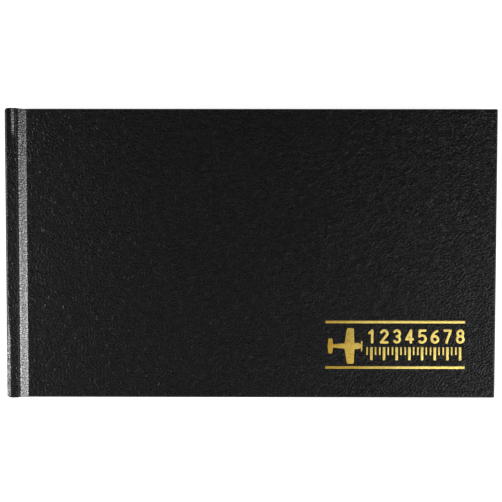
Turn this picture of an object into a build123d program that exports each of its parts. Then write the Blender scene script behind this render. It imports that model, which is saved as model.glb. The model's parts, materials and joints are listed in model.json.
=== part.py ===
from build123d import *
import os

os.makedirs("parts", exist_ok=True)

# Pilot logbook: a sewn, square-back, case-bound book that lies closed on its back cover.
# Frame: +X from the spine to the fore-edge, +Y to the head, +Z out of the front cover.
# The origin is at the middle of the closed book's underside. All sizes are in millimetres.

# Closed book
book_length = 280.0  # spine to fore-edge
board_height = 165.0  # head to tail, over the covered boards
book_thickness = 19.5
spine_extra = 0.5  # the spine stands this far past the boards at head and tail
spine_drop = 1.0  # the spine's ridges sit this far below the cover faces
groove_depth = 1.95  # the joint's lowest line, below the cover faces

# Case materials
covering = 0.4  # leather-grained covering
greyboard = 2.5
pastedown_paper = 0.15
mull_cloth = 0.2  # open cloth that ties the sewn block to the boards
board_step = 0.2  # the cloth and the paper step up to the board this far past its back edge
turn_in = 15.0  # how far the covering is folded over the boards' inside
corner_radius = 1.0
edge_radius = 0.35

# Spine and joints
ridge_width = 6.25
ridge_radius = 2.0
spine_board_thickness = 2.35
joint_wall = 1.1  # how far the joint's wall leans
joint_slope_width = 5.15
board_nose = 0.6  # upright part of the board's bevelled back edge
hinge_height = 0.15  # the cover turns about a line this far outside its own face
flex_gap = 0.05

# Sewn block
section_count = 12
leaves_per_section = 8
leaf_paper = 0.115
leaf_gap = 0.01
flyleaf_paper = 0.15
flyleaf_gap = 0.05
block_gap = 0.03
square = 3.8  # how far the boards stand past the pages
shoulder_rise = 1.7
fold_face = 4.25  # from the spine's outer face to the folds
loose_leaf_start = 0.1
loose_leaves = 4

# Spine linings, thread and headbands
spine_mull = 0.25
spine_liner_paper = 0.3
thread_diameter = 0.28
stitch_stations = [-62.0, -38.0, -13.0, 13.0, 38.0, 62.0]
stitch_setback = 2.0
stitch_rest = 0.2  # a stitch's middle line lies this far over the centre fold's paper
headband_radius = 0.75
headband_tape = 8.5
mull_half_height = 70.0
liner_half_height = 76.0
mull_flange_width = 25.0

# Gold stamping, measured from the middle of the cover
foil_thickness = 0.06
foil_depth = 0.15
rule_start = 42.8
rule_end = 122.6
rule_width = 1.5
rule_heights = [-38.8, -65.0]
pen_width = 1.45
digit_half_width = 1.75
digit_height = 6.8  # along the pen's middle line
digit_base = -50.45
digit_first = 69.2
digit_pitch = 7.25
digit_total = 8
tick_base = -60.8
tick_long = 7.6
tick_short = 4.6
tick_thick = 1.5
tick_thin = 0.9
ticks_per_digit = 3
aircraft_nose = 64.0
aircraft_middle = -52.6
wing_span = 20.6
body_rounding = 0.35
tip_rounding = 0.8

# Worked out from the sizes above
half_length = book_length / 2
half_board = board_height / 2
half_spine = half_board + spine_extra
middle_height = book_thickness / 2
spine_face = -half_length
ridge_end = spine_face + ridge_width
hinge_x = ridge_end + joint_wall + flex_gap
hinge_z = book_thickness + hinge_height
slope_end = hinge_x + joint_slope_width
board_top = book_thickness - covering
board_under = board_top - greyboard
turn_in_under = board_under - covering
cover_inside = turn_in_under - pastedown_paper
joint_bottom = book_thickness - groove_depth
window_edge = half_length - turn_in
window_half = half_board - turn_in
page_fore_edge = half_length - square
page_half = half_board - square
block_fold = spine_face + fold_face
flyleaf_top = cover_inside - flyleaf_gap
block_top = flyleaf_top - flyleaf_paper - block_gap
section_pitch = (2 * block_top - book_thickness) / section_count
leaf_pitch = leaf_paper + leaf_gap
shoulder_start = hinge_x
loose_start = hinge_x + loose_leaf_start
back_side = Plane.XY.offset(middle_height)


def slab(x_low, x_high, y_low, y_high, z_low, z_high):
    size = (x_high - x_low, y_high - y_low, z_high - z_low)
    middle = ((x_low + x_high) / 2, (y_low + y_high) / 2, (z_low + z_high) / 2)
    return Pos(*middle) * Box(*size)


def run_along_y(points, half_width):
    outline = Plane.XZ * Polyline(*points, close=True)
    return extrude(make_face(outline), amount=half_width, both=True)


def to_back(solid):
    return mirror(solid, about=back_side)


def save(solid, node):
    solid.label = node
    export_step(solid, f"parts/{node}.step")


# Case: boards, covering, pastedowns


def bevel_points():
    slope = (book_thickness - joint_bottom) / joint_slope_width
    lean = (greyboard - board_nose) / slope
    top_x = slope_end + covering / 2 - flex_gap
    return top_x, top_x - lean


def make_board():
    top_x, nose_x = bevel_points()
    end_x = half_length - covering
    nose_z = board_under + board_nose
    points = [
        (nose_x, board_under),
        (end_x, board_under),
        (end_x, board_top),
        (top_x, board_top),
        (nose_x, nose_z),
    ]
    board = run_along_y(points, half_board - covering)
    corners = board.edges().filter_by(Axis.Z).group_by(Axis.X)[-1]
    return fillet(corners, corner_radius - covering)


def make_covering(board):
    _, nose_x = bevel_points()
    slope = (book_thickness - joint_bottom) / joint_slope_width
    upright = covering * (1 + slope**2) ** 0.5
    joint_under = joint_bottom - covering
    under_x = slope_end - (book_thickness - upright - joint_under) / slope
    nose_ceiling = joint_under + (nose_x - under_x) * slope
    outer = [
        (hinge_x, turn_in_under),
        (half_length, turn_in_under),
        (half_length, book_thickness),
        (slope_end, book_thickness),
        (hinge_x, joint_bottom),
    ]
    skin = run_along_y(outer, half_board)
    corners = skin.edges().filter_by(Axis.Z).group_by(Axis.X)[-1]
    skin = fillet(corners, corner_radius)
    top_edges = skin.faces().sort_by(Axis.Z)[-1].edges()
    rim = top_edges.filter_by(lambda edge: edge.center().X > slope_end + 1)
    skin = fillet(rim, edge_radius)
    joint_space = [
        (hinge_x - 1, turn_in_under - 1),
        (nose_x, turn_in_under - 1),
        (nose_x, nose_ceiling),
        (under_x, joint_under),
        (hinge_x - 1, joint_under),
    ]
    window = slab(nose_x - 1, window_edge, -window_half, window_half, turn_in_under - 1, board_under)
    return skin - board - run_along_y(joint_space, half_board + 1) - window


def make_mull_flange():
    _, nose_x = bevel_points()
    half = window_half
    joint_top = turn_in_under + mull_cloth
    joint_part = slab(loose_start, nose_x + board_step, -half, half, turn_in_under, joint_top)
    flange_end = nose_x + mull_flange_width
    board_part = slab(nose_x, flange_end, -half, half, board_under - mull_cloth, board_under)
    return joint_part + board_part


def make_pastedown():
    # The paper lies over the turned-in covering and sinks to the board inside it.
    _, nose_x = bevel_points()
    step_x = nose_x + board_step
    flange_end = nose_x + mull_flange_width
    paper = pastedown_paper
    width = page_half
    sheet = slab(loose_start, page_fore_edge, -width, width, cover_inside, board_under)
    low = turn_in_under
    rest = board_under + 1
    sheet -= slab(window_edge, page_fore_edge + 1, -width - 1, width + 1, low, rest)
    sheet -= slab(loose_start - 1, step_x, -width - 1, width + 1, low, rest)
    for side in (-1, 1):
        inner, outer = sorted([side * window_half, side * (width + 1)])
        sheet -= slab(loose_start - 1, page_fore_edge + 1, inner, outer, low, rest)
    sheet -= slab(step_x, flange_end, -window_half, window_half, board_under - mull_cloth, rest)
    reach = window_half - paper
    under = cover_inside - 1
    flange_under = board_under - mull_cloth - paper
    sheet -= slab(step_x + paper, flange_end + paper, -reach, reach, under, flange_under)
    return sheet - slab(flange_end + paper, window_edge - paper, -reach, reach, under, board_under - paper)


def make_flyleaf():
    return slab(loose_start, page_fore_edge, -page_half, page_half, flyleaf_top - flyleaf_paper, flyleaf_top)


# Sewn block


def leaf_top(section, leaf):
    return block_top - section * section_pitch - leaf * leaf_pitch


def shoulder_lift(section, x):
    # Backing bends the folds outwards, most at the first and the last section.
    share = 1 - 2 * section / (section_count - 1)
    return share * shoulder_rise * (shoulder_start - x) / (shoulder_start - block_fold)


def make_sheet(section, sheet):
    # One sheet, folded once: its two leaves lie either side of the sheets inside it.
    high = leaf_top(section, sheet)
    low = leaf_top(section, leaves_per_section - 1 - sheet) - leaf_paper
    outer_x = block_fold + sheet * leaf_pitch
    inner_x = outer_x + leaf_paper
    outer_lift = shoulder_lift(section, outer_x)
    inner_lift = shoulder_lift(section, inner_x)
    points = [
        (page_fore_edge, high),
        (shoulder_start, high),
        (outer_x, high + outer_lift),
        (outer_x, low + outer_lift),
        (shoulder_start, low),
        (page_fore_edge, low),
        (page_fore_edge, low + leaf_paper),
        (shoulder_start, low + leaf_paper),
        (inner_x, low + leaf_paper + inner_lift),
        (inner_x, high - leaf_paper + inner_lift),
        (shoulder_start, high - leaf_paper),
        (page_fore_edge, high - leaf_paper),
    ]
    return run_along_y(points, page_half)


def make_section(section):
    sheets = [make_sheet(section, sheet) for sheet in range(leaves_per_section // 2)]
    if section == 0:
        # The first section's front leaves turn, so here they end just past their folds.
        stub_end = block_fold + loose_leaves * leaf_pitch + leaf_paper
        under = leaf_top(0, loose_leaves) + leaf_gap / 2
        points = [
            (stub_end, under + shoulder_lift(0, stub_end)),
            (shoulder_start, under),
            (page_fore_edge + 1, under),
            (page_fore_edge + 1, block_top + 5),
            (stub_end, block_top + 5),
        ]
        sheets = [sheet - run_along_y(points, page_half + 1) for sheet in sheets]
    return Compound([sheet.solid() for sheet in sheets])


def make_leaf(leaf):
    high = leaf_top(0, leaf)
    return slab(loose_start, page_fore_edge, -page_half, page_half, high - leaf_paper, high)


def make_thread():
    # Stitches lie along the first section's centre fold, and run down the folds at each station.
    radius = thread_diameter / 2
    stitch_x = block_fold + loose_leaves * leaf_pitch + leaf_paper + radius + 2 * leaf_gap
    bed = leaf_top(0, loose_leaves) + shoulder_lift(0, stitch_x)
    stitch_z = bed + stitch_rest
    pieces = []
    for start, end in zip(stitch_stations[:-1], stitch_stations[1:]):
        length = end - start - 2 * stitch_setback
        stitch = Rot(90, 0, 0) * Cylinder(radius, length)
        pieces.append(Pos(stitch_x, (start + end) / 2, stitch_z) * stitch)
    back_x = block_fold - radius - leaf_gap
    low = book_thickness - block_top - shoulder_rise + leaf_pitch
    for station in stitch_stations:
        link = Cylinder(radius, book_thickness - 2 * low)
        pieces.append(Pos(back_x, station, middle_height) * link)
    return Compound([piece.solid() for piece in pieces])


def spine_lining(thickness, outer_x, half_height, inset):
    low = book_thickness - block_top - shoulder_rise + inset
    return slab(outer_x, outer_x + thickness, -half_height, half_height, low, book_thickness - low)


def make_headband():
    mull_x = block_fold - thread_diameter - 2 * leaf_gap - spine_mull
    low = book_thickness - block_top - shoulder_rise + leaf_pitch
    height = book_thickness - 2 * low
    bead_y = page_half + headband_radius
    bead_x = mull_x + headband_radius
    bead = Pos(bead_x, bead_y, middle_height) * Cylinder(headband_radius, height)
    tape = slab(mull_x, mull_x + spine_mull, page_half - headband_tape, bead_y, low, low + height)
    return bead + tape


# Spine


def spine_outline(inset):
    # One half of the C-shaped section, from the outer face round the ridge to the joint's wall.
    radius = ridge_radius - inset
    face = spine_face + inset
    ridge = book_thickness - spine_drop - inset
    centre_x = spine_face + ridge_radius
    diagonal = radius * 0.5**0.5
    centre_z = ridge - radius
    rounding = ThreePointArc(
        (face, centre_z),
        (centre_x - diagonal, centre_z + diagonal),
        (centre_x, ridge),
    )
    return face, centre_z, centre_x, ridge, rounding


def make_spine_board():
    inner_x = spine_face + covering + spine_board_thickness
    face, centre_z, centre_x, ridge, rounding = spine_outline(covering)
    straight = Polyline(
        (centre_x, ridge),
        (inner_x, ridge),
        (inner_x, middle_height),
        (face, middle_height),
        (face, centre_z),
    )
    half = extrude(
        make_face(Plane.XZ * (rounding + straight)), amount=half_spine - covering, both=True
    )
    return half + to_back(half)


def make_spine_skin(spine_board):
    outer_wall = ridge_end + joint_wall
    face, centre_z, centre_x, ridge, outer_arc = spine_outline(0)
    in_face, in_centre_z, in_centre_x, in_ridge, inner_arc = spine_outline(covering)
    foot = joint_bottom - covering
    wall = Polyline(
        (centre_x, ridge),
        (ridge_end, ridge),
        (outer_wall, joint_bottom),
        (outer_wall, foot),
        (outer_wall - covering, foot),
        (outer_wall - covering, joint_bottom - covering / 2),
        (ridge_end - covering / 2, in_ridge),
        (in_centre_x, in_ridge),
    )
    back = Polyline(
        (in_face, in_centre_z),
        (in_face, middle_height),
        (face, middle_height),
        (face, centre_z),
    )
    outline = make_face(Plane.XZ * (outer_arc + wall + inner_arc + back))
    half = extrude(outline, amount=half_spine, both=True)
    skin = half + to_back(half)
    inner_x = spine_face + covering + spine_board_thickness
    flap_low = spine_drop + 2 * covering
    flap_x = inner_x + covering
    side_low = spine_drop + ridge_radius
    for side in (-1, 1):
        inner, outer = sorted([side * (half_spine - covering), side * half_spine])
        cap = slab(in_centre_x, flap_x, inner, outer, spine_drop + covering, in_ridge)
        cap += slab(in_face, flap_x, inner, outer, side_low, book_thickness - side_low)
        tucked, edge = sorted([side * (half_spine - turn_in), side * half_spine])
        flap = slab(inner_x, flap_x, tucked, edge, flap_low, book_thickness - flap_low)
        skin += cap + flap
    return skin - spine_board


# Gold stamping


def pen_line(start, end):
    across = end[0] - start[0]
    up = end[1] - start[1]
    line = Line(start, end)
    stroke = SlotCenterToCenter((across**2 + up**2) ** 0.5, pen_width)
    return Pos(*tuple(line.center())) * Rot(0, 0, line.tangent_angle_at(0)) * stroke


def pen_arc(centre, radius, start_angle, sweep):
    return SlotArc(CenterArc(centre, radius, start_angle, sweep), pen_width)


def pen_ring(centre, radius):
    return Pos(*centre) * (Circle(radius + pen_width / 2) - Circle(radius - pen_width / 2))


def digit_strokes(digit):
    half = digit_half_width
    top = digit_height
    bowl = top / 4
    if digit == 1:
        return [pen_line((0.4, 0), (0.4, top)), pen_line((-1.2, top - 1.5), (0.4, top))]
    if digit == 2:
        hook = pen_arc((0, top - half), half, -25, 185)
        return [hook, pen_line((1.59, top - half - 0.74), (-half, 0)), pen_line((-half, 0), (half, 0))]
    if digit == 3:
        return [pen_arc((0, top - bowl), bowl, -90, 235), pen_arc((0, bowl), bowl, 90, -235)]
    if digit == 4:
        strokes = [pen_line((0.8, 0), (0.8, top)), pen_line((0.8, top), (-half, 1.8))]
        return strokes + [pen_line((-half, 1.8), (half + 0.1, 1.8))]
    if digit == 5:
        bowl_arc = pen_arc((-0.1, 2.0), 2.0, 137, -270)
        strokes = [pen_line((-1.4, top), (half, top)), pen_line((-1.4, top), (-1.56, 3.36))]
        return strokes + [bowl_arc]
    if digit == 6:
        return [pen_ring((0, half), half), pen_arc((3.1, half + 0.3), 4.85, 180, -68)]
    if digit == 7:
        return [pen_line((-half, top), (half, top)), pen_line((half, top), (-0.6, 0))]
    return [pen_ring((0, top - 1.6), 1.6), pen_ring((0, 1.8), 1.8)]


def stamped_digits():
    digits = []
    for place in range(digit_total):
        strokes = digit_strokes(place + 1)
        shape = strokes[0]
        for stroke in strokes[1:]:
            shape += stroke
        digits.append(Pos(digit_first + place * digit_pitch, digit_base) * shape)
    return digits


def stamped_ticks():
    # A long tick stands under each digit, and one short tick leads the row.
    ticks = []
    last = (digit_total - 1) * ticks_per_digit
    for step in range(-1, last + 1):
        is_long = step % ticks_per_digit == 0
        wide = tick_thick if is_long else tick_thin
        tall = tick_long if is_long else tick_short
        x = digit_first + step * digit_pitch / ticks_per_digit
        ticks.append(Pos(x, tick_base + tick_long - tall / 2) * Rectangle(wide, tall))
    return ticks


def stamped_rules():
    length = rule_end - rule_start
    rule = Rectangle(length, rule_width)
    return [Pos(rule_start + length / 2, height) * rule for height in rule_heights]


def stamped_aircraft():
    # A light aircraft with a straight wing and a propeller, seen from above.
    body_side = [(-0.6, 1.0), (-2.2, 1.75), (-6.5, 2.0), (-12.0, 1.4), (-19.6, 0.7)]
    other_side = [(x, -y) for x, y in reversed(body_side)]
    body = make_face(Polyline(*body_side, *other_side, close=True))
    body = fillet(body.vertices(), body_rounding)
    wing_side = [(-4.4, 0), (-4.9, wing_span / 2), (-8.8, wing_span / 2), (-10.4, 0)]
    wing = make_face(Polyline(*wing_side, close=True))
    tail = make_face(Polyline((-16.6, 0), (-17.2, 4.4), (-19.4, 4.4), (-19.9, 0), close=True))
    blade = Pos(-0.4, 0) * Rectangle(0.8, 6.0)
    shape = body + blade
    for surface in (wing, tail):
        tip = surface.vertices().group_by(Axis.Y)[-1]
        rounded = fillet(tip, tip_rounding)
        shape += rounded + mirror(rounded, about=Plane.XZ)
    return [Pos(aircraft_nose, aircraft_middle) * shape]


def stamp(shapes, low, high):
    solids = []
    for shape in shapes:
        for face in shape.faces():
            solids.append(Pos(0, 0, low) * extrude(face, amount=high - low, dir=(0, 0, 1)))
    return Compound([solid.solid() for solid in solids])


def make_book():
    foil_floor = book_thickness - foil_depth
    foil_shapes = {
        "foil_rules": stamped_rules(),
        "foil_aircraft": stamped_aircraft(),
        "foil_numbers": stamped_digits(),
        "foil_scale": stamped_ticks(),
    }
    board = make_board()
    plain_covering = make_covering(board)
    front_covering = plain_covering
    for node, shapes in foil_shapes.items():
        for recess in stamp(shapes, foil_floor, book_thickness + 1).solids():
            front_covering -= recess
        save(stamp(shapes, foil_floor, foil_floor + foil_thickness), node)
    save(board, "front_board")
    save(to_back(board), "back_board")
    save(front_covering, "front_covering")
    save(to_back(plain_covering), "back_covering")
    flange = make_mull_flange()
    save(flange, "front_mull_flange")
    save(to_back(flange), "back_mull_flange")
    pastedown = make_pastedown()
    save(pastedown, "front_pastedown")
    save(to_back(pastedown), "back_pastedown")
    flyleaf = make_flyleaf()
    save(flyleaf, "front_flyleaf")
    save(to_back(flyleaf), "back_flyleaf")
    for leaf in range(loose_leaves):
        save(make_leaf(leaf), f"leaf_{leaf + 1}")
    for section in range(section_count):
        save(make_section(section), f"section_{section + 1:02d}")
    mull_x = block_fold - thread_diameter - 2 * leaf_gap - spine_mull
    save(make_thread(), "sewing_thread")
    save(spine_lining(spine_mull, mull_x, mull_half_height, leaf_pitch), "spine_mull")
    liner_x = mull_x - spine_liner_paper
    save(spine_lining(spine_liner_paper, liner_x, liner_half_height, leaf_pitch * 2), "spine_liner")
    headband = make_headband()
    save(headband, "headband_head")
    save(mirror(headband, about=Plane.XZ), "headband_tail")
    spine_board = make_spine_board()
    save(spine_board, "spine_board")
    save(make_spine_skin(spine_board), "spine_covering")


make_book()
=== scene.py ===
import json
import math

import bmesh
import bpy
from mathutils import Matrix, Vector


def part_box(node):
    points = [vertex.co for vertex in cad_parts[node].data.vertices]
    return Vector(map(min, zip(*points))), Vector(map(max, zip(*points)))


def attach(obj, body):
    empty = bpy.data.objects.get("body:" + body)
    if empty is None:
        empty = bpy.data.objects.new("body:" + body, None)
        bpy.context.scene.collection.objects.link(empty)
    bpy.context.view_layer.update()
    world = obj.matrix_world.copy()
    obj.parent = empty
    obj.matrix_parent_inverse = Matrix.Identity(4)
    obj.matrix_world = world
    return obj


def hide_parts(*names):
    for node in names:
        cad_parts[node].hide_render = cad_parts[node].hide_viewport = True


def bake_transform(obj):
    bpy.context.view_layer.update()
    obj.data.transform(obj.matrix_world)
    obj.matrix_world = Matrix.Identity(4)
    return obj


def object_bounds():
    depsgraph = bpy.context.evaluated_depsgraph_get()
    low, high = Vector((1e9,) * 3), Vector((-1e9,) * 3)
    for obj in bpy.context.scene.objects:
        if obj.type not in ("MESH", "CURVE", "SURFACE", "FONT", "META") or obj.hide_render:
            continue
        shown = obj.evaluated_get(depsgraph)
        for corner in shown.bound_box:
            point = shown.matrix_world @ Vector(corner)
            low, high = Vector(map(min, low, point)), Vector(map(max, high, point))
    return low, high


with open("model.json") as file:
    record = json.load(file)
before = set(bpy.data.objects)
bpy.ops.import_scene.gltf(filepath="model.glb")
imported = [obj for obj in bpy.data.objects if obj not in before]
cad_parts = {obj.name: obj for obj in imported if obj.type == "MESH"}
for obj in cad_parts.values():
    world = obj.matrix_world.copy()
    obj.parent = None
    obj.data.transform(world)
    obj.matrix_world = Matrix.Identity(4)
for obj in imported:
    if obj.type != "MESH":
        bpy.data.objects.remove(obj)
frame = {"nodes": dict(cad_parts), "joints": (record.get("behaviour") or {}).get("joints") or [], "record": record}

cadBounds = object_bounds()
mm = 0.001
joints = {joint["name"]: joint for joint in frame["joints"]}
hingeX = joints["front_cover_hinge"]["pos_m"][0]
coverLow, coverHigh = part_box("front_covering")
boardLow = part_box("front_board")[0]
spineLow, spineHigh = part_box("spine_covering")
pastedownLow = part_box("front_pastedown")[0]
flyleafLow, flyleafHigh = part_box("front_flyleaf")
bookThickness = cadBounds[1].z
middleHeight = bookThickness / 2


class Wire:
    # A number or colour on its way through a material, which can be added, scaled and compared.
    def __init__(self, tree, socket):
        self.tree = tree
        self.socket = socket

    def combine(self, operation, first, second=None):
        step = self.tree.nodes.new("ShaderNodeMath")
        step.operation = operation
        for slot, value in zip(step.inputs, (first, second)):
            if isinstance(value, Wire):
                self.tree.links.new(value.socket, slot)
            elif value is not None:
                slot.default_value = value
        return Wire(self.tree, step.outputs[0])

    def __add__(self, other):
        return self.combine("ADD", self, other)

    def __radd__(self, other):
        return self.combine("ADD", other, self)

    def __sub__(self, other):
        return self.combine("SUBTRACT", self, other)

    def __rsub__(self, other):
        return self.combine("SUBTRACT", other, self)

    def __mul__(self, other):
        return self.combine("MULTIPLY", self, other)

    def __rmul__(self, other):
        return self.combine("MULTIPLY", other, self)

    def __truediv__(self, other):
        return self.combine("DIVIDE", self, other)

    def __abs__(self):
        return self.combine("ABSOLUTE", self)

    def __gt__(self, other):
        return self.combine("GREATER_THAN", self, other)

    def __lt__(self, other):
        return self.combine("LESS_THAN", self, other)

    def fraction(self):
        return self.combine("FRACT", self)


class Finish:
    def __init__(self, name, bends=False):
        self.material = bpy.data.materials.new(name)
        self.material.use_nodes = True
        self.tree = self.material.node_tree
        self.tree.nodes.clear()
        if bends:
            # A piece that bends carries its closed shape along, so its pattern stays put.
            self.place = self.node("ShaderNodeAttribute", {"attribute_name": "closedPlace"}, output="Vector")
        else:
            self.place = self.node("ShaderNodeTexCoord", output="Object")

    def node(self, kind, settings=None, sockets=None, output=0):
        made = self.tree.nodes.new(kind)
        for key, value in (settings or {}).items():
            setattr(made, key, value)
        for key, value in (sockets or {}).items():
            if isinstance(value, Wire):
                self.tree.links.new(value.socket, made.inputs[key])
            else:
                made.inputs[key].default_value = value
        return Wire(self.tree, made.outputs[output])

    def scaled(self, x, y, z):
        return self.node("ShaderNodeMapping", None, {"Vector": self.place, "Scale": (x, y, z)})

    def axes(self):
        split = self.tree.nodes.new("ShaderNodeSeparateXYZ")
        self.tree.links.new(self.place.socket, split.inputs[0])
        return [Wire(self.tree, split.outputs[i]) for i in range(3)]

    def mix(self, factor, first, second):
        return self.node("ShaderNodeMix", {"data_type": "RGBA"}, {0: factor, 6: first, 7: second}, 2)

    def ramp(self, value, low, high, fromValue=0.0, toValue=1.0):
        limits = {"Value": value, "From Min": low, "From Max": high, "To Min": fromValue, "To Max": toValue}
        return self.node("ShaderNodeMapRange", {"interpolation_type": "SMOOTHSTEP"}, limits)

    def speckle(self, vector, scale, detail=3.0, roughness=0.5):
        return self.node("ShaderNodeTexNoise", None,
                         {"Vector": vector, "Scale": scale, "Detail": detail, "Roughness": roughness})

    def bump(self, height, strength, distance, normal=None):
        sockets = {"Height": height, "Strength": strength, "Distance": distance}
        if normal is not None:
            sockets["Normal"] = normal
        return self.node("ShaderNodeBump", None, sockets)

    def surface(self, **sockets):
        named = {key.replace("_", " "): value for key, value in sockets.items()}
        shader = self.node("ShaderNodeBsdfPrincipled", None, named)
        out = self.tree.nodes.new("ShaderNodeOutputMaterial")
        self.tree.links.new(shader.socket, out.inputs["Surface"])
        return self.material


def grey(level):
    return (level, level, level, 1.0)


leather = {
    "tone": (0.0017, 0.0017, 0.0018, 1.0),
    # the darker tone in the grain's creases is painted shade
    "creaseTone": (0.0008, 0.0008, 0.0008, 1.0),
    "roughness": 0.235,
    "reflection": 0.36,
    "pebbleLength": 1.9 * mm,
    "pebbleWidth": 1.05 * mm,
    "depth": 0.102 * mm,
    "jointMiddle": hingeX + 2.4 * mm,
    "jointHalf": 2.2 * mm,
    "jointEdge": 3.4 * mm,
    "pressed": 0.55,  # how much grain the joint keeps
    "headStart": 58 * mm,
    "headFull": 66 * mm,
    "stretched": 0.5,  # how much grain the spine's head loses
}


def leatherGrain(finish, spec):
    place = finish.scaled(1 / spec["pebbleLength"], 1 / spec["pebbleWidth"], 1 / spec["pebbleWidth"])
    drift = finish.node("ShaderNodeTexNoise", None, {"Vector": place, "Scale": 0.45, "Detail": 2.0}, "Color")
    push = finish.node("ShaderNodeVectorMath", {"operation": "SCALE"}, {0: drift, "Scale": 1.6})
    bent = finish.node("ShaderNodeVectorMath", {"operation": "ADD"}, {0: place, 1: push})
    pebbles = finish.node("ShaderNodeTexVoronoi", {"feature": "SMOOTH_F1"},
                          {"Vector": bent, "Scale": 1.0, "Smoothness": 0.35, "Randomness": 1.0})
    creases = finish.node("ShaderNodeTexVoronoi", {"feature": "DISTANCE_TO_EDGE"},
                          {"Vector": bent, "Scale": 1.0, "Randomness": 1.0})
    pores = finish.speckle(place, 3.2, 3.0, 0.6)
    crease = finish.ramp(creases, 0.0, 0.22)
    height = crease * 0.55 + (1 - pebbles) * 0.45 + pores * 0.35
    return height, crease


def leatherFinish(spec):
    finish = Finish("leatherGrain", True)
    height, crease = leatherGrain(finish, spec)
    broad = finish.speckle(finish.scaled(28, 28, 28), 1.0, 3.0, 0.55)
    x, y, z = finish.axes()
    # Pressing the joint flattens the grain there, and so does stretching it over the spine's head.
    fromJoint = abs(x - spec["jointMiddle"])
    joint = finish.ramp(fromJoint, spec["jointHalf"], spec["jointEdge"], spec["pressed"], 1.0)
    onSpine = x < spec["jointMiddle"] - spec["jointEdge"]
    head = onSpine * finish.ramp(y, spec["headStart"], spec["headFull"])
    normal = finish.bump(height * (joint - head * spec["stretched"]), 1.0, spec["depth"])
    # Painted shade: the grain's creases get the darker tone.
    tone = finish.mix(crease, spec["creaseTone"], spec["tone"])
    rough = spec["roughness"] + (broad - 0.5) * 0.02 + (1 - crease) * 0.06
    return finish.surface(Base_Color=tone, Roughness=rough, Normal=normal,
                          Specular_IOR_Level=spec["reflection"])


gold = {
    "tone": (1.0, 0.79, 0.23, 1.0),
    # the worn tone is also the colour of the painted shade on the gold
    "worn": (0.42, 0.24, 0.015, 1.0),
    # how strongly the painted shade darkens the gold's left side
    "rubbed": 0.72,
    "rubbedStart": 14 * mm,
    "rubbedEnd": 66 * mm,
    "roughness": 0.39,
    "depth": 0.10 * mm,
    "edgeWidth": 0.32 * mm,
    "swell": 0.05 * mm,
}


def goldFinish(spec):
    finish = Finish("goldFoil", True)
    height, crease = leatherGrain(finish, leather)
    normal = finish.bump(height, 0.6, spec["depth"])
    fleck = finish.speckle(finish.scaled(900, 900, 900), 1.0, 4.0, 0.6)
    x, y, z = finish.axes()
    # Painted shade: the gold is darker towards the left and, less steeply, towards the bottom.
    rubbed = 1 - finish.ramp(x + y * 0.5, spec["rubbedStart"], spec["rubbedEnd"])
    # The darker gold mixes random wear flecks with painted shade in the grain's creases and the painted shade
    # towards the left.
    wearAndShade = finish.ramp(fleck, 0.45, 0.8) * 0.2 + (1 - crease) * 0.2 + rubbed * spec["rubbed"]
    tone = finish.mix(wearAndShade, spec["tone"], spec["worn"])
    rough = spec["roughness"] + fleck * 0.16
    return finish.surface(Base_Color=tone, Metallic=1.0, Roughness=rough, Normal=normal)


def paperFinish(name, tone, edgeTone, mottling=0.04, bends=False):
    finish = Finish(name, bends)
    fibres = finish.speckle(finish.scaled(2200, 900, 2200), 1.0, 4.0, 0.65)
    clouds = finish.speckle(finish.scaled(45, 45, 45), 1.0, 3.0, 0.5)
    fade = finish.ramp(clouds, 0.35, 0.7) * mottling * 4 + fibres * mottling
    shade = finish.mix(fade, tone, edgeTone)
    normal = finish.bump(fibres, 0.25, 0.03 * mm)
    return finish.surface(Base_Color=shade, Roughness=0.78, Normal=normal, Specular_IOR_Level=0.25)


ledger = {
    "tone": (0.56, 0.585, 0.52, 1.0),
    "edgeTone": (0.52, 0.49, 0.41, 1.0),
    "lineTone": (0.10, 0.20, 0.17, 1.0),
    "headTone": (0.33, 0.46, 0.40, 1.0),
    "rowPitch": 7.4 * mm,
    "columnPitch": 16.2 * mm,
    "left": -118 * mm,
    "right": 128 * mm,
    "bottom": -69 * mm,
    "headStart": 49 * mm,
    "top": 66 * mm,
    "subHeadRise": 8 * mm,
    "thin": 0.22 * mm,
    "thick": 0.5 * mm,
}


def ledgerFinish(name, spec, bends=False):
    finish = Finish(name, bends)
    x, y, z = finish.axes()

    def between(value, low, high):
        return (value > low) * (value < high)

    def lines(value, start, pitch, width):
        step = ((value - start) / pitch).fraction()
        return 1 - (step > width / pitch) * (step < 1.0)

    body = between(x, spec["left"], spec["right"]) * between(y, spec["bottom"], spec["top"])
    head = body * (y > spec["headStart"])
    rows = lines(y, spec["bottom"], spec["rowPitch"], spec["thin"]) * (1 - head)
    columns = lines(x, spec["left"], spec["columnPitch"], spec["thin"])
    groups = lines(x, spec["left"], spec["columnPitch"] * 3, spec["thick"])
    headLine = between(y, spec["headStart"], spec["headStart"] + spec["thick"])
    subHead = spec["headStart"] + spec["subHeadRise"]
    subHeadLine = between(y, subHead, subHead + spec["thin"])
    ink = (rows + columns + groups + headLine + subHeadLine) * body > 0.5
    facing = finish.node("ShaderNodeSeparateXYZ", None,
                         {0: finish.node("ShaderNodeNewGeometry", output="Normal")}, 2)
    flat = abs(facing) > 0.8
    fibres = finish.speckle(finish.scaled(2200, 900, 2200), 1.0, 4.0, 0.65)
    clouds = finish.speckle(finish.scaled(40, 40, 40), 1.0, 3.0, 0.5)
    sheetLines = finish.speckle(finish.scaled(30, 30, 9000), 1.0, 2.0, 0.5)
    paper = finish.mix(finish.ramp(clouds, 0.3, 0.75) * 0.25, spec["tone"], spec["edgeTone"])
    tinted = finish.mix(head * 0.6, paper, spec["headTone"])
    printed = finish.mix(ink * 0.75, tinted, spec["lineTone"])
    edge = finish.mix(finish.ramp(sheetLines, 0.35, 0.65), spec["edgeTone"], spec["tone"])
    shade = finish.mix(flat, edge, printed)
    normal = finish.bump(fibres, 0.25, 0.03 * mm)
    return finish.surface(Base_Color=shade, Roughness=0.75, Normal=normal, Specular_IOR_Level=0.25)


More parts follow.
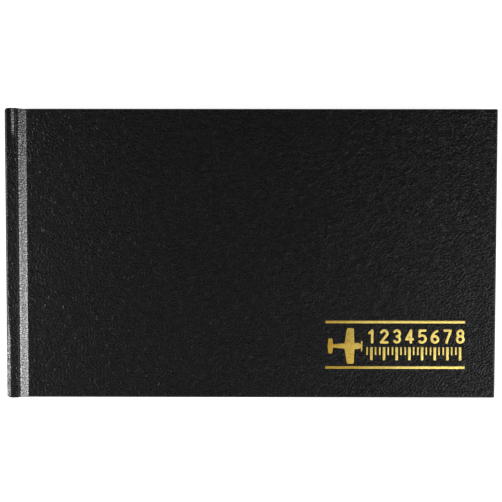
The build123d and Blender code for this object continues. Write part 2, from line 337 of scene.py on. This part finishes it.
def wovenFinish(name, tone, gapTone, pitch):
    finish = Finish(name)
    x, y, z = finish.axes()
    warp = abs((y / pitch).fraction() - 0.5)
    weft = abs((z / pitch).fraction() - 0.5)
    threads = finish.ramp(warp, 0.05, 0.3) + finish.ramp(weft, 0.05, 0.3)
    fuzz = finish.speckle(finish.scaled(1800, 1800, 1800), 1.0, 4.0, 0.6)
    shade = finish.mix(threads * 0.5, gapTone, tone)
    normal = finish.bump(threads + fuzz * 0.4, 0.6, 0.08 * mm)
    return finish.surface(Base_Color=shade, Roughness=0.85, Normal=normal)


def boardFinish():
    finish = Finish("greyboard")
    fibres = finish.speckle(finish.scaled(1500, 700, 1500), 1.0, 5.0, 0.7)
    shade = finish.mix(finish.ramp(fibres, 0.3, 0.7), (0.30, 0.28, 0.25, 1.0), (0.42, 0.40, 0.36, 1.0))
    normal = finish.bump(fibres, 0.5, 0.06 * mm)
    return finish.surface(Base_Color=shade, Roughness=0.9, Normal=normal)


def threadFinish():
    finish = Finish("linenThread")
    x, y, z = finish.axes()
    twist = abs(((x + y * 0.6 + z) / (0.55 * mm)).fraction() - 0.5)
    # Painted shade: the grooves of the twist get the darker tone.
    shade = finish.mix(finish.ramp(twist, 0.02, 0.3), (0.55, 0.52, 0.44, 1.0), (0.86, 0.84, 0.77, 1.0))
    normal = finish.bump(twist, 0.6, 0.05 * mm)
    return finish.surface(Base_Color=shade, Roughness=0.6, Normal=normal)


def headbandFinish():
    finish = Finish("headbandSilk")
    x, y, z = finish.axes()
    step = (z / (1.5 * mm)).fraction()
    stripe = finish.ramp(abs(step - 0.5), 0.2, 0.26)
    strands = abs((z / (0.25 * mm)).fraction() - 0.5)
    shade = finish.mix(stripe, (0.03, 0.03, 0.035, 1.0), (0.83, 0.81, 0.74, 1.0))
    normal = finish.bump(strands, 0.5, 0.04 * mm)
    return finish.surface(Base_Color=shade, Roughness=0.45, Normal=normal)


finishes = {
    "covering": leatherFinish(leather),
    "gold_foil": goldFinish(gold),
    "greyboard": boardFinish(),
    "endpaper": paperFinish("endpaper", (0.60, 0.585, 0.53, 1.0), (0.53, 0.505, 0.44, 1.0), bends=True),
    "ledger_paper": ledgerFinish("ledgerPaper", ledger),
    "ledger_leaf": ledgerFinish("ledgerLeaf", ledger, True),
    "kraft_paper": paperFinish("kraftPaper", (0.46, 0.33, 0.20, 1.0), (0.34, 0.24, 0.14, 1.0), 0.12),
    "mull": wovenFinish("mullCloth", (0.80, 0.78, 0.70, 1.0), (0.40, 0.38, 0.33, 1.0), 0.9 * mm),
    "thread": threadFinish(),
    "headband": headbandFinish(),
}
print("finishes made")


def dress(piece, finish):
    piece.data.materials.clear()
    piece.data.materials.append(finishes[finish])


def keepClosedPlace(piece):
    mesh = piece.data
    name = "closedPlace"
    held = mesh.attributes.get(name) or mesh.attributes.new(name, "FLOAT_VECTOR", "POINT")
    for vertex, item in zip(mesh.vertices, held.data):
        item.vector = vertex.co


for part in frame["record"]["subparts"]:
    dress(frame["nodes"][part["node"]], part["material_slot"])


def makePiece(name, shape, slot, sharpAngle=40.0, finish=None):
    mesh = bpy.data.meshes.new(name)
    shape.to_mesh(mesh)
    shape.free()
    mesh.shade_smooth()
    mesh.set_sharp_from_angle(angle=math.radians(sharpAngle))
    piece = bpy.data.objects.new(name, mesh)
    bpy.context.scene.collection.objects.link(piece)
    dress(piece, finish or slot)
    keepClosedPlace(piece)
    return piece


# All the layers at a joint bend over the same stretch, so they never cross.
bend = {"start": hingeX - 1.7 * mm, "end": hingeX + 5.0 * mm, "step": 0.32 * mm}
shoulder = {"rise": 1.7 * mm, "start": hingeX, "fold": spineLow.x + 4.25 * mm, "softness": 0.5 * mm}
window = {"edge": coverHigh.x - 15 * mm, "half": coverHigh.y - 15 * mm, "sink": 0.34 * mm, "soft": 0.4 * mm}


def smooth(share):
    share = min(1.0, max(0.0, share))
    return share * share * (3 - 2 * share)


def sunk(x, y):
    # Inside the turned-in covering, the layers lie a little closer to the board.
    inX = smooth((window["edge"] - x) / window["soft"] + 0.5) * smooth((x - boardLow.x) / (1.5 * mm))
    inY = smooth((window["half"] - abs(y)) / window["soft"] + 0.5)
    return window["sink"] * inX * inY


def shoulderLift(x):
    # Backing bends the folds up beside the joint.
    past = shoulder["start"] - x
    slope = shoulder["rise"] / (shoulder["start"] - shoulder["fold"])
    soft = shoulder["softness"]
    if past <= -soft:
        return 0.0
    if past >= soft:
        return past * slope
    return slope * (past + soft) ** 2 / (4 * soft)


def turnedOver(shape):
    # The back cover's layers are the front cover's, seen from the other side.
    for vert in shape.verts:
        vert.co.z = bookThickness - vert.co.z
    bmesh.ops.reverse_faces(shape, faces=shape.faces)
    return shape


def sweepRing(place, ringCount, rowCount):
    # A closed ring is drawn out row by row, and both ends are filled.
    shape = bmesh.new()
    ring = [shape.verts.new(place(0, index)) for index in range(ringCount)]
    edges = [shape.edges.new((ring[index - 1], ring[index])) for index in range(ringCount)]
    firstEdges = list(edges)
    order = {vert: index for index, vert in enumerate(ring)}
    for row in range(1, rowCount):
        made = bmesh.ops.extrude_edge_only(shape, edges=edges)["geom"]
        edges = [item for item in made if isinstance(item, bmesh.types.BMEdge)]
        nextOrder = {}
        for vert in [item for item in made if isinstance(item, bmesh.types.BMVert)]:
            source = next(e.other_vert(vert) for e in vert.link_edges if e.other_vert(vert) in order)
            nextOrder[vert] = order[source]
            vert.co = place(row, order[source])
        order = nextOrder
    for rim in (firstEdges, edges):
        bmesh.ops.triangle_fill(shape, edges=rim, use_beauty=True)
    bmesh.ops.recalc_face_normals(shape, faces=shape.faces)
    return shape


# Each half of the case is one covering over its board, its joint and the spine.
case = {
    "ridgeWidth": 6.65 * mm,
    "ridgeRound": 0.6 * mm,
    "spineRound": 1.35 * mm,
    "footX": hingeX + 0.2 * mm,
    "footRound": 0.22 * mm,
    "grooveDepth": 1.95 * mm,
    "slopeWidth": 5.15 * mm,
    "slopeEase": 1.0 * mm,
    "easeAngle": 20.0,
    "slopeRound": 1.5 * mm,
    "coverRound": 0.9 * mm,
    "underRound": 0.7 * mm,
    "spineWall": 3.15 * mm,
    "webThickness": 0.8 * mm,
    "jointWall": 0.45 * mm,
    "endRound": 0.9 * mm,  # the rounding at head and tail
    "endRoundJoint": 0.15 * mm,
    "supportStep": 0.3 * mm,
    "rowCount": 60,
    "endRows": 6,
    "cornerRound": 1.5 * mm,
    "puckerStart": 3.9 * mm,
    "puckerWidth": 2.4 * mm,
    "puckerFull": 6 * mm,
    "puckerLength": 16 * mm,
    "puckerRise": 0.94 * mm,
    "wornStart": -28 * mm,
    "wornFull": -52 * mm,
    "wornWidth": 2.1 * mm,
    "wornSlope": 0.38,
}


def caseCorners(spec):
    left = spineLow.x
    right = coverHigh.x
    top = coverHigh.z
    ridge = spineHigh.z
    under = coverLow.z
    ridgeEnd = left + spec["ridgeWidth"]
    grooveZ = top - spec["grooveDepth"]
    slopeX = hingeX + spec["slopeWidth"]
    ease = spec["slopeEase"]
    easeRise = ease * math.tan(math.radians(spec["easeAngle"]))
    innerX = left + spec["spineWall"]
    webZ = ridge - spec["webThickness"]
    jointUnder = grooveZ - spec["jointWall"]
    extra = spineHigh.y - coverHigh.y
    thick = spec["endRound"]
    thin = spec["endRoundJoint"]
    web = spec["webThickness"] * 0.4
    ridgePoints = [(left + share * mm, ridge, 0, web, extra) for share in (2.1, 2.7, 3.3, 3.9, 4.7, 5.5)]
    # x, z, corner radius, rounding at head and tail, extra reach at head and tail
    return [
        (left, middleHeight, 0, thick, extra),
        (left, ridge, spec["spineRound"], thick, extra),
        *ridgePoints,
        (ridgeEnd, ridge, spec["ridgeRound"], web, extra),
        (spec["footX"], grooveZ, spec["footRound"], thin, extra * 0.6),
        (spec["footX"] + ease, grooveZ + easeRise, 1.5 * mm, thin, extra * 0.3),
        (slopeX - ease, top - easeRise, 1.5 * mm, 0.4 * mm, 0),
        (slopeX, top, spec["slopeRound"], thick, 0),
        (slopeX + 3 * mm, top, 0, thick, 0),
        (38 * mm, top, 0, thick, 0),
        (right - 3 * mm, top, 0, thick, 0),
        (right, top, spec["coverRound"], thick, 0),
        (right, under, spec["underRound"], thick, 0),
        (window["edge"] + window["soft"], under, 0, thick, 0),
        (window["edge"], under, 0, thick, 0),
        (window["edge"] - window["soft"], under, 0, thick, 0),
        (boardLow.x + 3 * mm, under, 0, thick, 0),
        (boardLow.x + 1.5 * mm, under, 0, thick, 0),
        (boardLow.x, under, 0.2 * mm, thick, 0),
        (hingeX + 1.1 * mm, jointUnder, 0.2 * mm, thin, 0),
        (hingeX - 0.6 * mm, jointUnder + 0.1 * mm, 0.2 * mm, thin, extra * 0.6),
        (ridgeEnd - 0.25 * mm, webZ, 0.3 * mm, web, extra),
        (innerX, webZ, 0.4 * mm, thick, extra),
        (innerX, middleHeight, 0, thick, extra),
    ]


def roundedOutline(corners, support, segments=6):
    outline = []
    count = len(corners)
    for index, (x, z, radius, *ends) in enumerate(corners):
        here = Vector((x, z))
        if radius == 0:
            outline.append((here, ends))
            continue
        before = (Vector(corners[index - 1][:2]) - here).normalized()
        after = (Vector(corners[(index + 1) % count][:2]) - here).normalized()
        half = before.angle(after) / 2
        reach = radius / math.tan(half)
        centre = here + (before + after).normalized() * radius / math.sin(half)
        first = here + before * reach
        last = here + after * reach
        outline.append((first + before * support, ends))
        sweep = (last - centre).angle_signed(first - centre)
        for step in range(segments + 1):
            turn = Matrix.Rotation(sweep * step / segments, 2)
            outline.append((centre + turn @ (first - centre), ends))
        outline.append((last + after * support, ends))
    return outline


def inwardNormals(outline):
    normals = []
    for index, (point, _) in enumerate(outline):
        ahead = outline[(index + 1) % len(outline)][0] - point
        behind = point - outline[index - 1][0]
        along = ahead.normalized() + behind.normalized()
        normals.append(Vector((along.y, -along.x)).normalized())
    return normals


def caseShape(spec):
    outline = roundedOutline(caseCorners(spec), spec["supportStep"])
    normals = inwardNormals(outline)
    half = coverHigh.y
    rounding = [step / spec["endRows"] * math.pi / 2 for step in range(spec["endRows"] + 1)]
    shares = [-1 + 2 * step / spec["rowCount"] for step in range(spec["rowCount"] + 1)]
    limit = half - 1.2 * mm
    for offset in (-window["soft"], 0, window["soft"]):
        shares += [(window["half"] + offset) / limit, -(window["half"] + offset) / limit]
    rows = [(-1, 1 - math.cos(angle), 1 - math.sin(angle)) for angle in rounding]
    rows += [(0, share, 0) for share in sorted(shares)]
    rows += [(1, 1 - math.cos(angle), 1 - math.sin(angle)) for angle in reversed(rounding)]

    def place(row, index):
        side, measure, inset = rows[row]
        point, (radius, reach) = outline[index]
        end = half + reach
        if side:
            y = side * (end - radius * measure)
        else:
            y = measure * limit * (end - radius) / (half - spec["endRound"])
        at = point + normals[index] * radius * inset
        return Vector((at.x, y, at.y))

    return sweepRing(place, len(outline), len(rows))


def wornChange(x, spec):
    # At the tail the spine's rounded edge is worn to a flat slope.
    fromEdge = x - spineLow.x
    if fromEdge > spec["wornWidth"]:
        return 0.0
    radius = spec["spineRound"]
    short = max(0.0, radius - fromEdge)
    roundDrop = radius - math.sqrt(max(0.0, radius ** 2 - short ** 2))
    return roundDrop - spec["wornSlope"] * (spec["wornWidth"] - fromEdge)


def puckerLift(x, y, spec):
    # The covering swells where it is turned in at the spine's head.
    fromHead = (spineHigh.y - spec["puckerFull"] - y) / spec["puckerLength"]
    across = min(1.0, max(0.0, (x - spineLow.x - spec["puckerStart"]) / spec["puckerWidth"]))
    pastRidge = smooth((spineLow.x + spec["ridgeWidth"] + 0.3 * mm - x) / (0.6 * mm))
    return spec["puckerRise"] * (1 - smooth(fromHead)) * across * pastRidge


def settleCovering(shape, spec):
    # The plain outline gets its corners, its pucker, its wear and the sunk middle of its inside.
    under = coverLow.z
    corner = Vector((spineLow.x, spineHigh.y))
    radius = spec["cornerRound"]
    for vert in shape.verts:
        x, y, z = vert.co
        out = Vector((corner.x + radius - x, abs(y) - corner.y + radius))
        if out.x > 0 and out.y > 0:  # the spine's corners, seen from the front
            keep = max(out.x, out.y) / out.length
            vert.co.x = corner.x + radius - out.x * keep
            vert.co.y = math.copysign(corner.y - radius + out.y * keep, y)
        if abs(z - under) < 0.05 * mm:
            vert.co.z += sunk(x, y)
        if z < spineHigh.z - 1.9 * mm or x > hingeX - 1.2 * mm:
            continue  # not on the spine's ridge
        if z > spineHigh.z - 0.4 * mm:
            vert.co.z += puckerLift(x, y, spec)
        worn = smooth((spec["wornStart"] - y) / (spec["wornStart"] - spec["wornFull"]))
        vert.co.z += worn * wornChange(x, spec)


front = caseShape(case)
settleCovering(front, case)
back = turnedOver(front.copy())
frontCase = makePiece("frontCase", front, "covering")
backCase = makePiece("backCase", back, "covering")
print("case made")


def cutRecess(piece, node):
    source = frame["nodes"][node]
    cutter = bmesh.new()
    cutter.from_mesh(source.data)
    bmesh.ops.remove_doubles(cutter, verts=cutter.verts, dist=1e-6)
    low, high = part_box(node)
    for vert in cutter.verts:
        if vert.co.z > (low.z + high.z) / 2:
            vert.co.z = bookThickness + 1 * mm
    mesh = bpy.data.meshes.new("recess")
    cutter.to_mesh(mesh)
    cutter.free()
    tool = bpy.data.objects.new("recess", mesh)
    bpy.context.scene.collection.objects.link(tool)
    cut = piece.modifiers.new("recess", "BOOLEAN")
    cut.operation = "DIFFERENCE"
    cut.solver = "EXACT"
    cut.object = tool
    bpy.context.view_layer.update()
    evaluated = piece.evaluated_get(bpy.context.evaluated_depsgraph_get())
    result = bpy.data.meshes.new_from_object(evaluated)
    piece.modifiers.clear()
    piece.data = result
    bpy.data.objects.remove(tool)


def flattenTop(piece, spec):
    # The plain of the cover is flat, so its facets are shaded flat; the rounded edges stay smooth.
    plainStart = hingeX + spec["slopeWidth"] + 2.9 * mm
    plainEnd = coverHigh.x - 2.9 * mm
    mesh = piece.data
    for face in mesh.polygons:
        level = face.center.z > coverHigh.z - 0.2 * mm and abs(face.normal.z) > 0.99
        if level and plainStart < face.center.x < plainEnd and abs(face.center.y) < coverHigh.y - 1.3 * mm:
            face.use_smooth = False


def makeFoil(node, name, spec):
    # The foil swells slightly between its pressed edges.
    shape = bmesh.new()
    shape.from_mesh(frame["nodes"][node].data)
    bmesh.ops.remove_doubles(shape, verts=shape.verts, dist=1e-6)
    bmesh.ops.dissolve_limit(shape, angle_limit=math.radians(1), verts=shape.verts, edges=shape.edges)
    tops = [face for face in shape.faces if face.normal.z > 0.9]
    bmesh.ops.inset_region(shape, faces=tops, thickness=spec["edgeWidth"], use_even_offset=True)
    for vert in {vert for face in tops for vert in face.verts}:
        vert.co.z += spec["swell"]
    foil = makePiece(name, shape, "gold_foil", 30.0)
    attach(foil, "front_cover")
    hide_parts(node)


stamped = {
    "foil_rules": "goldRules",
    "foil_aircraft": "goldAircraft",
    "foil_numbers": "goldNumbers",
    "foil_scale": "goldScale",
}
for node, name in stamped.items():
    cutRecess(frontCase, node)
    makeFoil(node, name, gold)
frontCase.data.set_sharp_from_angle(angle=math.radians(40))
flattenTop(frontCase, case)
keepClosedPlace(frontCase)
print("stamping done")

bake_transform(frontCase)
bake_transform(backCase)
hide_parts("front_covering", "spine_covering")
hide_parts("back_covering")


spineBoard = {"edge": 0.5 * mm, "play": 0.12 * mm}


def makeSpineBoard(spec):
    low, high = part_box("spine_board")
    shape = bmesh.new()
    bmesh.ops.create_cube(shape, size=1)
    play = spec["play"]
    size = Vector((high.x - low.x - 6 * play, high.y - low.y - 2 * play, high.z - low.z - 10 * play))
    bmesh.ops.scale(shape, vec=size, verts=shape.verts)
    middle = (low + high) / 2 + Vector((2.5 * play, 0, 0))
    bmesh.ops.translate(shape, vec=middle, verts=shape.verts)
    long = [edge for edge in shape.edges if abs(edge.verts[0].co.y - edge.verts[1].co.y) > 1 * mm]
    bmesh.ops.bevel(shape, geom=long, offset=spec["edge"], segments=4, profile=0.5,
                    affect="EDGES", material=-1)
    board = makePiece("spineBoard", shape, "greyboard")
    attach(board, "text_block")
    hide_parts("spine_board")


makeSpineBoard(spineBoard)
print("spine board made")


papers = {
    "pastedownStart": hingeX - 1.9 * mm,
    "flyleafStart": hingeX - 2.05 * mm,
    "leafStart": hingeX - 2.15 * mm,
    "mullStart": hingeX - 1.7 * mm,
    "pastedownThickness": 0.14 * mm,
    "mullThickness": 0.15 * mm,
    "rowCount": 16,
    "flatColumns": 12,
}


def stations(start, end, extras=()):
    # Close together where the layers bend, wide apart over the flat part.
    places = []
    x = start
    while x < bend["end"]:
        places.append(x)
        x += bend["step"]
    count = papers["flatColumns"]
    places += [bend["end"] + (end - bend["end"]) * step / count for step in range(count + 1)]
    return sorted(places + [x for x in extras if start < x < end])


def sheetShape(start, end, half, low, thickness, sinks=False):
    extras = [window["edge"] + window["soft"] * step / 2 for step in (-2, -1, 0, 1, 2)] if sinks else []
    if sinks:
        extras += [boardLow.x + 1.5 * mm * step / 4 for step in range(5)]
    xs = stations(start, end, extras)
    ys = [-half + 2 * half * step / papers["rowCount"] for step in range(papers["rowCount"] + 1)]
    if sinks:
        borders = [window["half"] + window["soft"] * step / 2 for step in (-2, -1, 0, 1, 2)]
        ys = sorted(ys + [y for border in borders for y in (border, -border) if abs(y) < half])
    ring = [(x, low + thickness) for x in xs] + [(x, low) for x in reversed(xs)]

    def place(row, index):
        x, z = ring[index]
        y = ys[row]
        rise = shoulderLift(x) + (sunk(x, y) if sinks else 0.0)
        return Vector((x, y, z + rise))

    return sweepRing(place, len(ring), len(ys))


def makeSheet(name, slot, node, shape, finish=None):
    piece = makePiece(name, shape, slot, 50.0, finish)
    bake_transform(piece)
    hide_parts(node)
    return piece


pageEnd = flyleafHigh.x
pageHalf = flyleafHigh.y
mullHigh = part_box("front_mull_flange")[1]
for side in ("front", "back"):
    pastedown = sheetShape(papers["pastedownStart"], pageEnd, pageHalf, pastedownLow.z,
                           papers["pastedownThickness"], True)
    flyleaf = sheetShape(papers["flyleafStart"], pageEnd, pageHalf, flyleafLow.z,
                         flyleafHigh.z - flyleafLow.z)
    mull = sheetShape(papers["mullStart"], mullHigh.x, mullHigh.y, coverLow.z + 0.01 * mm,
                      papers["mullThickness"], True)
    if side == "back":
        for shape in (pastedown, flyleaf, mull):
            turnedOver(shape)
    makeSheet(side + "Pastedown", "endpaper", side + "_pastedown", pastedown)
    makeSheet(side + "Flyleaf", "endpaper", side + "_flyleaf", flyleaf)
    makeSheet(side + "Mull", "mull", side + "_mull_flange", mull)
for number in range(1, 5):
    low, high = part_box(f"leaf_{number}")
    leaf = sheetShape(papers["leafStart"], high.x, high.y, low.z, high.z - low.z)
    makeSheet(f"leaf{number}", "ledger_paper", f"leaf_{number}", leaf, "ledger_leaf")
print("endpapers and leaves made")


headband = {"beadRadius": 0.72 * mm, "ribs": 46, "ribDepth": 0.07 * mm, "sides": 16, "tapeDepth": 0.2 * mm}


def makeHeadband(node, name, spec):
    low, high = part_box(node)
    side = 1 if high.y > 0 else -1
    bead = bmesh.new()
    bmesh.ops.create_circle(bead, segments=spec["sides"], radius=spec["beadRadius"], cap_ends=False)
    endY = high.y if side > 0 else low.y
    reach = spec["beadRadius"] + 0.02 * mm
    centre = Vector((low.x + reach, endY - side * reach, low.z))
    bmesh.ops.translate(bead, vec=centre, verts=bead.verts)
    edges = list(bead.edges)
    firstRim = edges
    steps = spec["ribs"] * 4
    for step in range(1, steps + 1):
        made = bmesh.ops.extrude_edge_only(bead, edges=edges)["geom"]
        verts = [item for item in made if isinstance(item, bmesh.types.BMVert)]
        edges = [item for item in made if isinstance(item, bmesh.types.BMEdge)]
        swell = spec["beadRadius"] - spec["ribDepth"] * (1 - abs(math.sin(math.pi * step / 4)))
        for vert in verts:
            out = Vector((vert.co.x - centre.x, vert.co.y - centre.y, 0)).normalized()
            vert.co = centre + out * swell + Vector((0, 0, (high.z - low.z) * step / steps))
    for rim in (firstRim, edges):
        bmesh.ops.contextual_create(bead, geom=rim)
    tape = bmesh.ops.create_cube(bead, size=1)["verts"]
    inner = low.y if side > 0 else high.y
    size = Vector((spec["tapeDepth"], abs(endY - inner) - spec["beadRadius"], high.z - low.z - 0.4 * mm))
    bmesh.ops.scale(bead, vec=size, verts=tape)
    middle = Vector((low.x + spec["tapeDepth"] / 2, inner + side * size.y / 2, (low.z + high.z) / 2))
    bmesh.ops.translate(bead, vec=middle, verts=tape)
    bmesh.ops.recalc_face_normals(bead, faces=bead.faces)
    piece = makePiece(name, bead, "headband")
    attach(piece, "text_block")
    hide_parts(node)


makeHeadband("headband_head", "headbandHead", headband)
makeHeadband("headband_tail", "headbandTail", headband)
print("headbands made")

studio = {
    "floorSize": 3.0,
    "floorDrop": 7 * mm,  # leaves room for the back cover when it's opened right round
    "floorTone": 0.3,
    "floorGlow": 0.94,
    "horizon": 1.15,
    "horizonHeight": 0.05,
    "shoulder": 0.62,
    "shoulderHeight": 0.56,
    "zenith": 0.02,
    "zenithHeight": 0.91,
    "lean": 20.0,
}
ground = bmesh.new()
bmesh.ops.create_grid(ground, x_segments=1, y_segments=1, size=studio["floorSize"])
bmesh.ops.translate(ground, vec=(0, 0, -studio["floorDrop"]), verts=ground.verts)
floorMesh = bpy.data.meshes.new("floor")
ground.to_mesh(floorMesh)
ground.free()
floor = bpy.data.objects.new("floor", floorMesh)
bpy.context.scene.collection.objects.link(floor)
floorFinish = Finish("floorPaper")
floorMesh.materials.append(floorFinish.surface(Base_Color=grey(studio["floorTone"]), Roughness=0.9,
                                               Specular_IOR_Level=0.0, Emission_Color=grey(1.0),
                                               Emission_Strength=studio["floorGlow"]))

world = bpy.data.worlds.new("studio")
bpy.context.scene.world = world
world.use_nodes = True
sky = world.node_tree
sky.nodes.clear()
sight = sky.nodes.new("ShaderNodeTexCoord")
lean = sky.nodes.new("ShaderNodeMapping")
lean.inputs["Rotation"].default_value = (math.radians(studio["lean"]), 0, 0)
split = sky.nodes.new("ShaderNodeSeparateXYZ")
shade = sky.nodes.new("ShaderNodeValToRGB")
shade.color_ramp.elements[0].position = studio["horizonHeight"]
shade.color_ramp.elements[0].color = grey(studio["horizon"])
shade.color_ramp.elements[1].position = studio["zenithHeight"]
shade.color_ramp.elements[1].color = grey(studio["zenith"])
middleStop = shade.color_ramp.elements.new(studio["shoulderHeight"])
middleStop.color = grey(studio["shoulder"])
glow = sky.nodes.new("ShaderNodeBackground")
skyOut = sky.nodes.new("ShaderNodeOutputWorld")
sky.links.new(sight.outputs["Generated"], lean.inputs["Vector"])
sky.links.new(lean.outputs[0], split.inputs[0])
sky.links.new(split.outputs["Z"], shade.inputs[0])
sky.links.new(shade.outputs[0], glow.inputs["Color"])
sky.links.new(glow.outputs[0], skyOut.inputs["Surface"])


def softbox(name, place, target, width, height, power):
    data = bpy.data.lights.new(name, "AREA")
    data.shape = "RECTANGLE"
    data.size = width
    data.size_y = height
    data.energy = power
    lamp = bpy.data.objects.new(name, data)
    lamp.location = place
    lamp.rotation_euler = (Vector(target) - Vector(place)).to_track_quat("-Z", "Y").to_euler()
    bpy.context.scene.collection.objects.link(lamp)


softbox("leftBox", (-0.99, -0.23, 0.84), (-0.13, 0, 0), 0.3, 0.3, 16.5)
softbox("rightBox", (0.85, -0.55, 0.85), (0.1, 0, 0), 0.7, 0.6, 11.5)

# Seen from above; the angles are in degrees.
view = {"place": (0.0046, 0.0521, 0.8), "tilt": -3.688, "roll": 0.061, "pan": 0.32, "lens": 98.4}
lensData = bpy.data.cameras.new("camera")
lensData.lens = view["lens"]
camera = bpy.data.objects.new("camera", lensData)
bpy.context.scene.collection.objects.link(camera)
panned = Matrix.Rotation(math.radians(view["pan"]), 4, "Y")
tilted = Matrix.Rotation(math.radians(view["tilt"]), 4, "X")
rolled = Matrix.Rotation(math.radians(view["roll"]), 4, "Z")
camera.matrix_world = Matrix.Translation(view["place"]) @ panned @ tilted @ rolled
bpy.context.scene.camera = camera
bpy.context.scene.view_settings.view_transform = "Standard"
print("studio ready")
